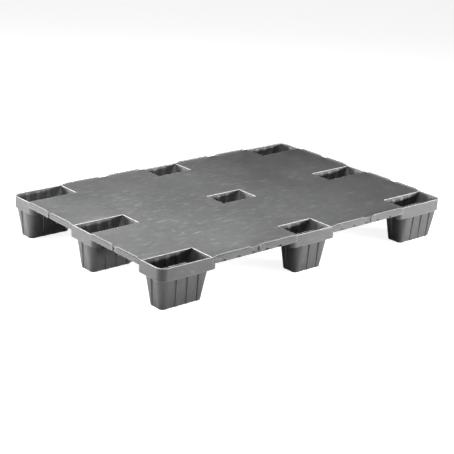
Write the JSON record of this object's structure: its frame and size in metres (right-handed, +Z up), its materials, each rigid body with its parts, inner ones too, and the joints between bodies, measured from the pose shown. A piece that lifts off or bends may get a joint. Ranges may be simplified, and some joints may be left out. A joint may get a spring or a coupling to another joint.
{
  "type": "plastic pallet",
  "caption": "Nestable plastic pallet with a smooth closed deck, hollow tapered legs open at the top, and shallow edge skirts.",
  "frame": {"origin": "middle of the pallet's outline, on the floor under the soles", "axes": "+X along the long side, +Y along the short side towards the back, +Z up"},
  "size_m": [1.2, 0.8, 0.14],
  "materials": {
    "deck": "satin moulded, fine grain",
    "leg": "satin moulded, fine grain",
    "skirt": "satin moulded, fine grain",
    "rib": "matt moulded"
  },
  "bodies": {
    "root": {"deck_plate": "deck", "leg_front_left": "leg", "leg_front_middle": "leg", "leg_front_right": "leg", "leg_middle_left": "leg", "leg_centre": "leg", "leg_middle_right": "leg", "leg_back_left": "leg", "leg_back_middle": "leg", "leg_back_right": "leg", "skirt_front_left": "skirt", "skirt_front_right": "skirt", "skirt_back_left": "skirt", "skirt_back_right": "skirt", "skirt_left_front": "skirt", "skirt_left_back": "skirt", "skirt_right_front": "skirt", "skirt_right_back": "skirt", "ribs_front_left": "rib", "ribs_front_right": "rib", "ribs_back_left": "rib", "ribs_back_right": "rib", "ribs_left_front": "rib", "ribs_left_back": "rib", "ribs_right_front": "rib", "ribs_right_back": "rib", "ribs_middle_left": "rib", "ribs_middle_right": "rib", "ribs_centre_front": "rib", "ribs_centre_back": "rib", "bay_front_left": "rib", "bay_front_right": "rib", "bay_back_left": "rib", "bay_back_right": "rib"}
  },
  "joints": []
}
